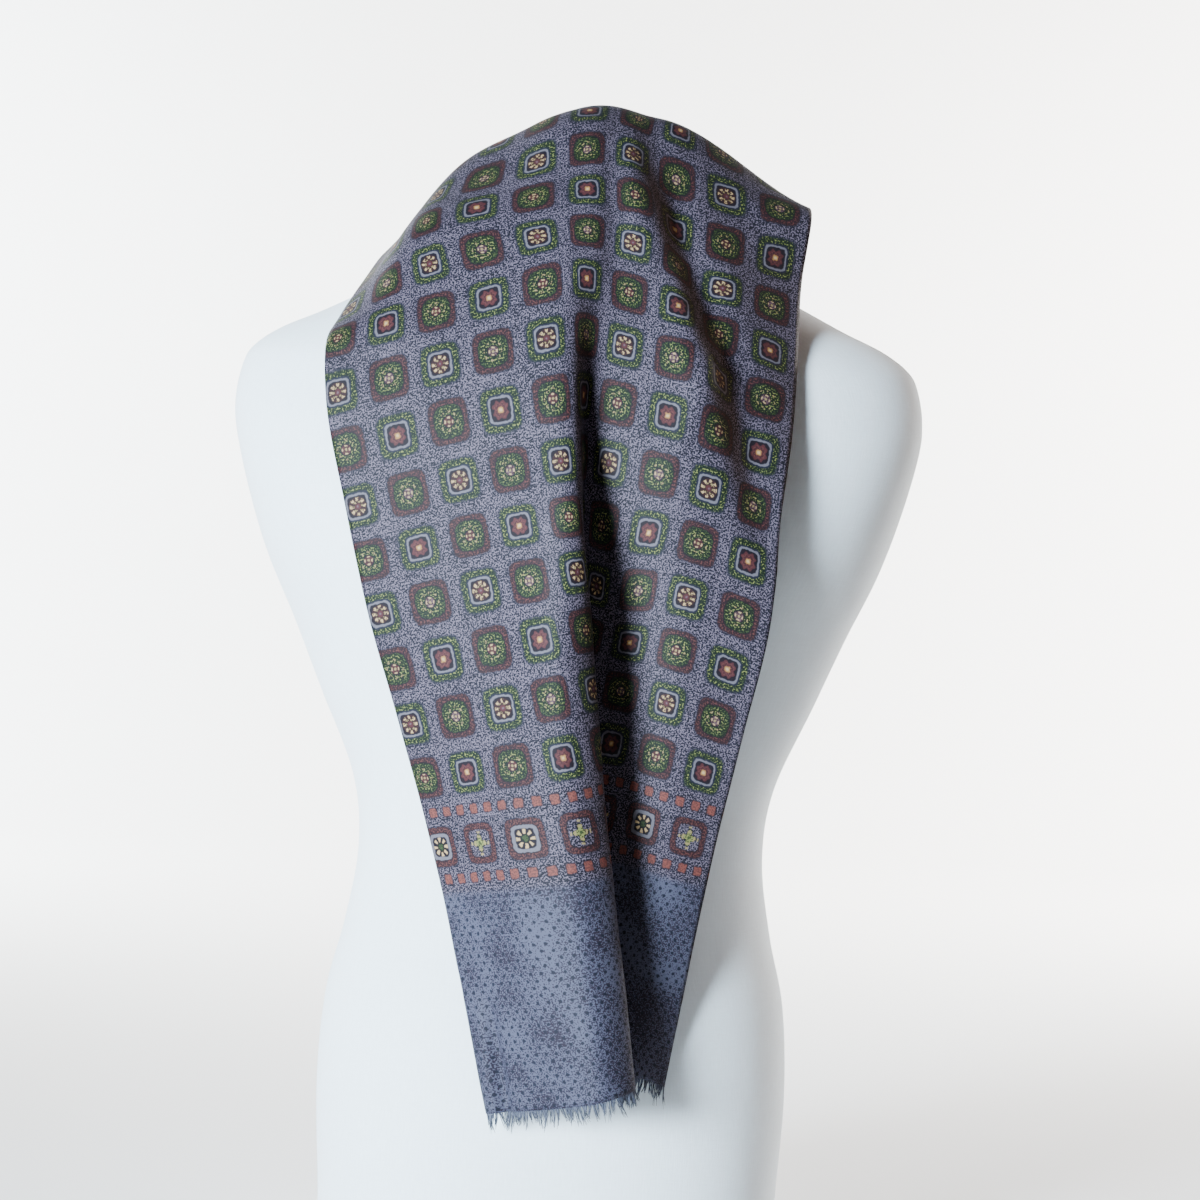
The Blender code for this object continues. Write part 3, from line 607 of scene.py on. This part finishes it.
def print_group(ink):
    """The print in the settings' inks: framed squares in a lattice, a border row, dotted end panels."""
    tree, given, result = new_group(
        "neat square print", [("Laid Flat", "NodeSocketVector", None)], [("Color", "NodeSocketColor")])
    flat = given["Laid Flat"]
    u, v, _ = parts_of(tree, flat)
    grain, _ = noise(tree, flat, GRAIN_SCALE)
    flecks, _ = noise(tree, flat, FLECK_SCALE)
    clouds, _ = noise(tree, flat, CLOUD_SCALE, 3.0)
    blots, _ = noise(tree, flat, BLOT_SCALE)
    _, wobble = noise(tree, flat, WOBBLE_SCALE)
    wobble_x, wobble_y, _ = parts_of(tree, wobble)
    length = CLOTH_LENGTH * 1000
    x = u * 1000 + (wobble_x - 0.5) * WOBBLE
    y = v * 1000 + (wobble_y - 0.5) * WOBBLE
    from_hem = y.least(y * -1 + length)

    # ground: dark specks on a pale blue-grey, denser in clouds and small blots
    veins = (grain + (clouds - 0.5) * 0.12 + (blots - 0.5) * 0.16).above(0.478, 0.03)
    ground = mixed(tree, veins, ink.pale, ink.dusk)
    density = (clouds - 0.5) * 0.50 + (blots - 0.5) * 0.10 + from_hem.below(35.0, 35.0) * 0.02
    thin_speck = (grain + density).above(0.522, 0.03)
    row, dot_y = lattice(y, 2.0, DOT_ROW)
    _, dot_x = lattice(x + is_odd(row) * (DOT_PITCH / 2), 2.0, DOT_PITCH)
    panel = Layers(tree, ink.panel).lay(thin_speck, ink.plum)
    panel.lay((dot_x ** 2 + dot_y ** 2).below(1.00, 0.40), ink.ink)
    cloth = Layers(tree, ground).lay(from_hem.below(PANEL_EDGE, 3.0), panel.colour)

    # squares of the field, of two kinds in turn
    column, across = lattice(x, FIRST_COLUMN, PITCH)
    line, along = lattice(y, FIRST_ROW, PITCH)
    odd_column = is_odd(column)
    is_green = (odd_column - is_odd(line)) ** 2
    square = Square(across, along)
    in_field = from_hem.above(FIRST_ROW - PITCH / 2, 0.4)
    cloth.lay(square.reach.below(12.2, 0.6) * in_field * 0.6, ink.ink)
    green = green_square(tree, ink, square, flecks, odd_column)
    brick = brick_square(tree, ink, square, flecks, grain, odd_column)
    cloth.lay(square.reach.below(11.4, 0.35) * in_field, mixed(tree, is_green, brick, green))

    # border: a row of thinner frames between two rows of small coral squares
    _, down = lattice(from_hem, BORDER_ROW, length)
    square = Square(across, down)
    in_border = abs(down).below(13.5, 0.3)
    cloth.lay(square.reach.below(11.7, 0.5) * in_border * 0.6, ink.ink)
    cloth.lay(square.reach.below(11.0, 0.3) * in_border,
              border_square(tree, ink, square, flecks, ground, is_odd(column + 1)))
    _, chip_x = lattice(x, FIRST_COLUMN, PITCH / 3)
    chip_y = abs(from_hem - (BORDER_ROW + CHIPS_ABOVE)).least(abs(from_hem - (BORDER_ROW - CHIPS_BELOW)))
    chip = Square(chip_x, chip_y, 6.0)
    coral = mixed(tree, flecks.above(0.5, 0.1), ink.coral, ink.clay)
    cloth.lay(chip.reach.below(3.2, 0.4) * 0.8, ink.brick_dark).lay(chip.reach.below(2.5, 0.3), coral)
    plug(tree, cloth.colour, result["Color"])
    return tree


def flat_vector(tree):
    """The piece's place laid flat, in metres."""
    node = tree.nodes.new("ShaderNodeAttribute")
    node.attribute_name = "laid_flat"
    return node.outputs["Vector"]


def new_material(name, threads, slub, bump, **looks):
    """A cloth material: its shader's plain values, and the thread grain as a fine bump."""
    material = bpy.data.materials.new(name)
    material.use_nodes = True
    tree = material.node_tree
    shader = tree.nodes["Principled BSDF"]
    for socket, value in looks.items():
        shader.inputs[socket.replace("_", " ")].default_value = value
    grain = tree.nodes.new("ShaderNodeGroup")
    grain.node_tree = shared_weave()
    plug(tree, flat_vector(tree), grain.inputs["Laid Flat"])
    grain.inputs["Threads"].default_value = threads
    grain.inputs["Slub Length"].default_value = slub
    relief = tree.nodes.new("ShaderNodeBump")
    relief.inputs["Strength"].default_value = bump
    relief.inputs["Distance"].default_value = THREAD_RELIEF
    plug(tree, grain.outputs["Height"], relief.inputs["Height"])
    plug(tree, relief.outputs["Normal"], shader.inputs["Normal"])
    return material, tree, shader, grain


@functools.cache
def shared_weave():
    """The one thread grain that all three materials use."""
    return weave_group()


def jersey_material(settings):
    """Matt white knit on the form."""
    material, tree, shader, grain = new_material(
        "white jersey", threads=1100.0, slub=9.0, bump=0.35,
        Roughness=0.88, Sheen_Weight=0.25, Sheen_Roughness=0.5, Specular_IOR_Level=0.25)
    # the grain's Shade mixes painted shade between the threads into the jersey's colour
    shade = Wire(tree, grain.outputs["Shade"])
    dull = tuple(JERSEY_SHADE * c for c in settings.jersey[:3]) + (1,)
    plug(tree, mixed(tree, shade, settings.jersey, dull), shader.inputs["Base Color"])
    return material


def print_material(settings):
    """The fine printed cloth."""
    material, tree, shader, grain = new_material(
        "printed cloth", threads=1700.0, slub=14.0, bump=0.25,
        Sheen_Weight=0.01, Sheen_Roughness=0.4, Specular_IOR_Level=0.10)
    pattern = tree.nodes.new("ShaderNodeGroup")
    pattern.node_tree = print_group(settings)
    plug(tree, flat_vector(tree), pattern.inputs["Laid Flat"])
    # painted shade between the threads: the print is darkened by the grain's Shade
    shade = Wire(tree, grain.outputs["Shade"])
    dimmed = mixed(tree, shade * PRINT_SHADE, pattern.outputs["Color"], PAINTED_THREAD_SHADE)
    plug(tree, dimmed, shader.inputs["Base Color"])
    plug(tree, shade * 0.10 + 0.58, shader.inputs["Roughness"])
    return material


def thread_material(settings):
    """Loose threads of two tones."""
    material, tree, shader, _ = new_material(
        "frayed threads", threads=2500.0, slub=10.0, bump=0.2,
        Roughness=0.75, Sheen_Weight=0.05, Sheen_Roughness=0.5, Specular_IOR_Level=0.2)
    tone, _ = noise(tree, flat_vector(tree), 420.0)
    plug(tree, mixed(tree, tone.above(0.5, 0.12), settings.thread, settings.thread_dark),
         shader.inputs["Base Color"])
    return material


# ---- making pieces
def new_object(name, points, faces, material):
    """A smooth mesh in the scene."""
    mesh = bpy.data.meshes.new(name)
    mesh.from_pydata(points, [], faces)
    mesh.update()
    mesh.shade_smooth()
    mesh.materials.append(material)
    made = bpy.data.objects.new(name, mesh)
    bpy.context.scene.collection.objects.link(made)
    return made


def new_piece(name, points, faces, flat, material):
    """A smooth piece that rides on the root, with where each point lies when laid flat."""
    piece = new_object(name, points, faces, material)
    laid = piece.data.attributes.new("laid_flat", "FLOAT_VECTOR", "POINT")
    laid.data.foreach_set("vector", np.asarray(flat, dtype=np.float32).ravel())
    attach(piece, "root")
    return piece


def grid_faces(columns, rows):
    """Quads of a grid whose points run along the rows first."""
    first = np.arange(columns - 1)[:, None] * rows + np.arange(rows - 1)[None, :]
    return np.stack([first, first + rows, first + rows + 1, first + 1], axis=-1).reshape(-1, 4).tolist()


def tube_faces(base, sides, rings):
    """Quads round rings of points that start at the number base, and a face at each end."""
    faces = []
    for low in range(base, base + (rings - 1) * sides, sides):
        for side in range(sides):
            after = (side + 1) % sides
            faces.append((low + side, low + after, low + after + sides, low + side + sides))
    faces.append(tuple(base + side for side in reversed(range(sides))))
    faces.append(tuple(base + (rings - 1) * sides + side for side in range(sides)))
    return faces


def thread_tube(path, radius, sides):
    """Rings of points round a tapering thread."""
    step = np.gradient(path, axis=0)
    step /= np.linalg.norm(step, axis=1, keepdims=True)
    side = np.cross(step, [0.31, 0.95, 0.05])
    side /= np.linalg.norm(side, axis=1, keepdims=True)
    other = np.cross(step, side)
    turns = np.arange(sides) * 2 * math.pi / sides
    taper = np.linspace(1.0, TIP_SHARE, len(path))[:, None, None] * radius
    ring = np.cos(turns)[None, :, None] * side[:, None] + np.sin(turns)[None, :, None] * other[:, None]
    return path[:, None] + ring * taper


def fringe_mesh(settings, hem_v, seed):
    """Points, faces and flat places of one end's frayed threads."""
    random = np.random.default_rng(seed)
    inwards = HEM_STEP if hem_v == 0 else -HEM_STEP
    count = settings.threads
    u_values = (np.arange(count) + 0.5) * CLOTH_WIDTH / count
    grid = cloth_grid(u_values, np.sort([hem_v, hem_v + inwards]))
    hem, inner = (grid[:, 0], grid[:, 1]) if hem_v == 0 else (grid[:, 1], grid[:, 0])
    fall = (hem - inner) / np.linalg.norm(hem - inner, axis=1, keepdims=True)
    fall = fall * FALL_ALONG_CLOTH + np.array([0, 0, -FALL_DOWN])
    sideways = np.gradient(hem, axis=0)
    sideways /= np.linalg.norm(sideways, axis=1, keepdims=True)
    outwards = np.cross(sideways, fall)

    points, faces, flat = [], [], []
    clump_end, clump_middle, clump_lean, clump_out, clump_length = -1, 0.0, 0.0, 0.0, 1.0
    share = np.linspace(0, 1, THREAD_RINGS)[:, None]
    for k in range(count):
        if k > clump_end:
            clump_size = random.integers(*CLUMP_SIZE)
            clump_end = k + clump_size - 1
            clump_middle = k + clump_size / 2
            clump_lean = random.uniform(*CLUMP_LEAN)
            clump_out = random.uniform(*CLUMP_OUT)
            clump_length = random.uniform(*CLUMP_LENGTH)
        length = settings.thread_length * clump_length * random.uniform(*OWN_LENGTH)
        gather = (clump_middle - k) * CLOTH_WIDTH / count * random.uniform(*OWN_GATHER)
        lean = clump_lean * length + gather + random.uniform(*OWN_LEAN) * length
        out = (clump_out + random.uniform(*OWN_OUT)) * length
        curl = random.uniform(*OWN_CURL) * length
        path = (hem[k] - fall[k] * THREAD_ROOT + fall[k] * share * (length + THREAD_ROOT)
                + sideways[k] * (lean * share ** 1.6 + curl * np.sin(math.pi * share * 1.5))
                + outwards[k] * out * share ** 1.8)
        tube = thread_tube(path, settings.thread_radius * random.uniform(*OWN_RADIUS), THREAD_SIDES)
        base = len(points)
        points.extend(tube.reshape(-1, 3).tolist())
        flat.extend([(k * FLAT_PITCH, ring * FLAT_STEP, 0)
                     for ring in range(THREAD_RINGS) for _ in range(THREAD_SIDES)])
        faces.extend(tube_faces(base, THREAD_SIDES, THREAD_RINGS))
    return points, faces, flat


# ---- settings
PRINT_COLOURS = {  # linear colours of the print's inks
    "pale": (0.090, 0.075, 0.103), "dusk": (0.004, 0.004, 0.007), "panel": (0.049, 0.052, 0.081),
    "plum": (0.012, 0.009, 0.016), "ink": (0.006, 0.007, 0.013), "green": (0.003, 0.006, 0.003),
    "leaf": (0.021, 0.034, 0.011), "moss": (0.122, 0.135, 0.041), "ring": (0.082, 0.078, 0.095),
    "soot": (0.005, 0.003, 0.005), "rust": (0.040, 0.011, 0.012), "ember": (0.061, 0.019, 0.018),
    "brown": (0.016, 0.006, 0.006), "amber": (0.201, 0.105, 0.033), "cream": (0.286, 0.200, 0.102),
    "sand": (0.170, 0.130, 0.060), "brick": (0.029, 0.010, 0.011), "brick_dark": (0.010, 0.005, 0.006),
    "clay": (0.061, 0.021, 0.018), "mauve": (0.071, 0.042, 0.051), "coral": (0.123, 0.036, 0.027),
}


def setting(kind, name, value, least, most, description, **more):
    """One number or colour that the sidebar shows."""
    return kind(name=name, default=value, min=least, max=most, description=description, **more)


def length_setting(name, value, least, most, description):
    """A setting in metres."""
    return setting(FloatProperty, name, value, least, most, description, unit="LENGTH")


def power_setting(name, value, most, description):
    """A light's setting in watts."""
    return setting(FloatProperty, name, value, 0, most, description, unit="POWER")


def colour_setting(name, value, description):
    """A setting that holds a linear colour."""
    return setting(FloatVectorProperty, name, (*value, 1), 0, 1, description, subtype="COLOR", size=4)


def ink_setting(name, value):
    """The setting for one ink of the print."""
    words = name.replace("_", " ")
    return colour_setting(words.capitalize(), value, f"Colour of the print's {words} ink")


class ScarfPrintSettings(bpy.types.PropertyGroup):
    """Colours of the print."""
    __annotations__ = {name: ink_setting(name, value) for name, value in PRINT_COLOURS.items()}


class ScarfClothSettings(bpy.types.PropertyGroup):
    """Sizes of the cloth's mesh."""
    thickness: length_setting("Thickness", 0.0009, 0.0003, 0.0016, "Thickness of the cloth that shows")
    cells_across: setting(IntProperty, "Cells across", 114, 20, 150, "Faces across the cloth's width")
    cells_along: setting(IntProperty, "Cells along", 408, 60, 500, "Faces along the cloth's length")


class ScarfFringeSettings(bpy.types.PropertyGroup):
    """Sizes and colours of the frayed ends."""
    threads: setting(IntProperty, "Threads", 980, 50, 1200, "Threads along each end")
    thread_length: length_setting("Thread length", 0.0094, 0.002, 0.03, "Mean length of the loose threads")
    thread_radius: length_setting("Thread radius", 0.00030, 0.00005, 0.001, "Radius of a thread at its root")
    thread: colour_setting("Thread", (0.080, 0.092, 0.130), "Colour of the lighter threads")
    thread_dark: colour_setting("Dark thread", (0.020, 0.023, 0.036), "Colour of the darker threads")


class ScarfFormSettings(bpy.types.PropertyGroup):
    """Sizes and colour of the dress form."""
    sides: setting(IntProperty, "Sides", 144, 24, 400, "Faces round the form")
    rings: setting(IntProperty, "Rings", 209, 40, 400, "Rings of points up the form")
    jersey: colour_setting("Jersey", (0.67, 0.755, 0.81), "Colour of the form's cover")


class ScarfStageSettings(bpy.types.PropertyGroup):
    """The floor, the lights and the camera."""
    floor: colour_setting("Floor", (0.80, 0.80, 0.80), "Colour of the plain floor")
    key: power_setting("Key light", 30.0, 1000, "Power of the soft light from the left")
    fill: power_setting("Fill light", 3.5, 1000, "Power of the soft light from the right")
    back: power_setting("Backdrop light", 600.0, 3000, "Power of the lights on the backdrop")
    surround: setting(FloatProperty, "Surround", 0.03, 0, 5, "Brightness of the plain surroundings")
    horizon: setting(FloatProperty, "Horizon", 0.14, 0, 5,
                     "Brightness of the surroundings where the camera sees past the floor")
    distance: length_setting("Camera distance", 1.600, 0.5, 10,
                             "Distance of the camera from the form's middle plane")
    roll: setting(FloatProperty, "Camera roll", math.radians(2.43), -1, 1,
                  "How far the camera is tipped to one side", subtype="ANGLE")


# ---- operators
class SCARF_OT_dress_form(bpy.types.Operator):
    """Build the smooth torso that the scarf lies on."""
    bl_idname = "scarf.dress_form"
    bl_label = "Dress form"

    def execute(self, context):
        settings = context.scene.scarf_form
        angles = np.linspace(0, 2 * math.pi, settings.sides, endpoint=False)
        cosine, sine = np.cos(angles), np.sin(angles)
        points, flat = [], []
        for z, half_width, front, back, squareness in form_rings(settings.rings).T:
            x = half_width * np.sign(cosine) * np.abs(cosine) ** (2 / squareness)
            y = np.where(sine > 0, back, front) * np.sign(sine) * np.abs(sine) ** (2 / squareness)
            points.append(np.stack([x, y, np.full_like(x, z)], axis=-1))
            flat.append(np.stack([angles * FORM_RADIUS, np.full_like(x, z), x], axis=-1))
        points, flat = np.concatenate(points).tolist(), np.concatenate(flat)
        faces = tube_faces(0, settings.sides, settings.rings)
        piece = new_piece("form_cover", points, faces, flat, jersey_material(settings))
        piece.data.set_sharp_from_angle(angle=SHARP_ANGLE)
        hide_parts("dress_form")
        return {"FINISHED"}


class SCARF_OT_scarf(bpy.types.Operator):
    """Build the draped cloth and the frayed threads at its two ends."""
    bl_idname = "scarf.scarf"
    bl_label = "Scarf"

    def execute(self, context):
        settings, fringe = context.scene.scarf_cloth, context.scene.scarf_fringe
        u_values = np.linspace(0, CLOTH_WIDTH, settings.cells_across + 1)
        v_values = np.linspace(0, CLOTH_LENGTH, settings.cells_along + 1)
        grid = cloth_grid(u_values, v_values)
        u, v = np.meshgrid(u_values, v_values, indexing="ij")
        cloth = new_piece("scarf_cloth", grid.reshape(-1, 3).tolist(),
                          grid_faces(len(u_values), len(v_values)),
                          np.stack([u, v, np.zeros_like(u)], axis=-1),
                          print_material(context.scene.scarf_print))
        wall = cloth.modifiers.new("wall", "SOLIDIFY")
        wall.thickness = settings.thickness
        wall.offset = 0.0
        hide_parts("scarf_front_fall", "scarf_neck_stretch", "scarf_back_fall")

        threads = thread_material(fringe)
        for name, node, hem_v, seed in (("threads_front", "fringe_front", 0.0, 3),
                                        ("threads_back", "fringe_back", CLOTH_LENGTH, 8)):
            points, faces, flat = fringe_mesh(fringe, hem_v, seed)
            piece = new_piece(name, points, faces, flat, threads)
            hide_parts(node)
        return {"FINISHED"}


class SCARF_OT_stage(bpy.types.Operator):
    """Build the plain floor and backdrop, the soft lights and the camera."""
    bl_idname = "scarf.stage"
    bl_label = "Stage"

    def execute(self, context):
        settings = context.scene.scarf_stage
        self.sweep(settings)
        context.scene.world = self.surroundings(settings)
        self.light("key light", KEY_PLACE, FORM_MIDDLE, KEY_SIZE, KEY_SPREAD, settings.key, KEY_COLOUR)
        self.light("fill light", FILL_PLACE, FORM_MIDDLE, FILL_SIZE, FILL_SPREAD, settings.fill, FILL_COLOUR)
        for side, colour in BACKDROP_COLOURS.items():
            place, target = [(side * x, y, z) for x, y, z in (BACKDROP_PLACE, BACKDROP_TARGET)]
            self.light(f"backdrop light {side}", place, target, BACKDROP_SIZE, BACKDROP_SPREAD,
                       settings.back / 2, colour)
        self.camera(context, settings)
        return {"FINISHED"}

    def surroundings(self, settings):
        """Plain surroundings that give a little light, and look pale grey past the floor's edge."""
        world = bpy.data.worlds.new("plain surroundings")
        world.use_nodes = True
        nodes, links = world.node_tree.nodes, world.node_tree.links
        lighting, seen = nodes["Background"], nodes.new("ShaderNodeBackground")
        for background, strength in ((lighting, settings.surround), (seen, settings.horizon)):
            background.inputs["Color"].default_value = SKY_COLOUR
            background.inputs["Strength"].default_value = strength
        path, mix = nodes.new("ShaderNodeLightPath"), nodes.new("ShaderNodeMixShader")
        links.new(path.outputs["Is Camera Ray"], mix.inputs[0])
        links.new(lighting.outputs[0], mix.inputs[1])
        links.new(seen.outputs[0], mix.inputs[2])
        links.new(mix.outputs[0], nodes["World Output"].inputs["Surface"])
        return world

    def sweep(self, settings):
        """A floor that curves up into a backdrop well behind the form."""
        half_width, front, behind, bend, top = 6.0, -6.0, 2.6, 0.8, 4.0
        turns = np.linspace(0, math.pi / 2, 13)
        profile = [(front, 0.0)]
        profile += [(behind + bend * math.sin(t), bend * (1 - math.cos(t))) for t in turns]
        profile.append((behind + bend, top))
        points = [(x, y, z) for x in (-half_width, half_width) for y, z in profile]
        material = bpy.data.materials.new("plain floor")
        material.use_nodes = True
        shader = material.node_tree.nodes["Principled BSDF"]
        shader.inputs["Base Color"].default_value = settings.floor
        shader.inputs["Roughness"].default_value = 0.9
        new_object("plain floor", points, grid_faces(2, len(profile)), material)

    def light(self, name, place, target, size, spread, power, colour):
        """A round soft light that faces the target; its spread is in degrees."""
        lamp = bpy.data.lights.new(name, "AREA")
        lamp.shape = "DISK"
        lamp.size = size
        lamp.spread = math.radians(spread)
        lamp.energy = power
        lamp.color = colour
        holder = bpy.data.objects.new(name, lamp)
        holder.location = place
        holder.rotation_euler = (Vector(target) - Vector(place)).to_track_quat("-Z", "Y").to_euler()
        holder.visible_camera = False
        bpy.context.scene.collection.objects.link(holder)

    def camera(self, context, settings):
        """The photograph's viewing angle: level, from the front, and tipped a little."""
        lens = bpy.data.cameras.new("camera")
        lens.sensor_width = SENSOR
        lens.lens = SENSOR * settings.distance / SEEN_WIDTH
        holder = bpy.data.objects.new("camera", lens)
        c, s = math.cos(settings.roll), math.sin(settings.roll)
        right, up, back = Vector((c, 0, s)), Vector((-s, 0, c)), Vector((0, -1, 0))
        turn = Matrix((right, up, back)).transposed().to_4x4()
        holder.matrix_world = Matrix.Translation((CAMERA_X, -settings.distance, CAMERA_Z)) @ turn
        context.scene.collection.objects.link(holder)
        context.scene.camera = holder


class SCARF_PT_sidebar(bpy.types.Panel):
    """The sizes and colours, and a button for each part of the model."""
    bl_idname = "SCARF_PT_sidebar"
    bl_label = "Draped scarf"
    bl_space_type = "VIEW_3D"
    bl_region_type = "UI"
    bl_category = "Scarf"

    def draw(self, context):
        for key, operator in (("scarf_form", "scarf.dress_form"), ("scarf_cloth", "scarf.scarf"),
                              ("scarf_print", None), ("scarf_fringe", None), ("scarf_stage", "scarf.stage")):
            group = getattr(context.scene, key)
            box = self.layout.box()
            for name in group.__annotations__:
                box.prop(group, name)
            if operator:
                box.operator(operator)


SETTINGS = {"scarf_print": ScarfPrintSettings, "scarf_cloth": ScarfClothSettings,
            "scarf_fringe": ScarfFringeSettings, "scarf_form": ScarfFormSettings,
            "scarf_stage": ScarfStageSettings}
CLASSES = (*SETTINGS.values(), SCARF_OT_dress_form, SCARF_OT_scarf, SCARF_OT_stage, SCARF_PT_sidebar)


def register():
    """Add the settings, operators and panel."""
    for item in CLASSES:
        bpy.utils.register_class(item)
    for name, group in SETTINGS.items():
        setattr(bpy.types.Scene, name, PointerProperty(type=group))


def unregister():
    """Take them away again."""
    for name in SETTINGS:
        delattr(bpy.types.Scene, name)
    for item in reversed(CLASSES):
        bpy.utils.unregister_class(item)


def main():
    """Build everything."""
    register()
    bpy.ops.scarf.dress_form()
    bpy.ops.scarf.scarf()
    bpy.ops.scarf.stage()


if __name__ == "__main__":
    main()
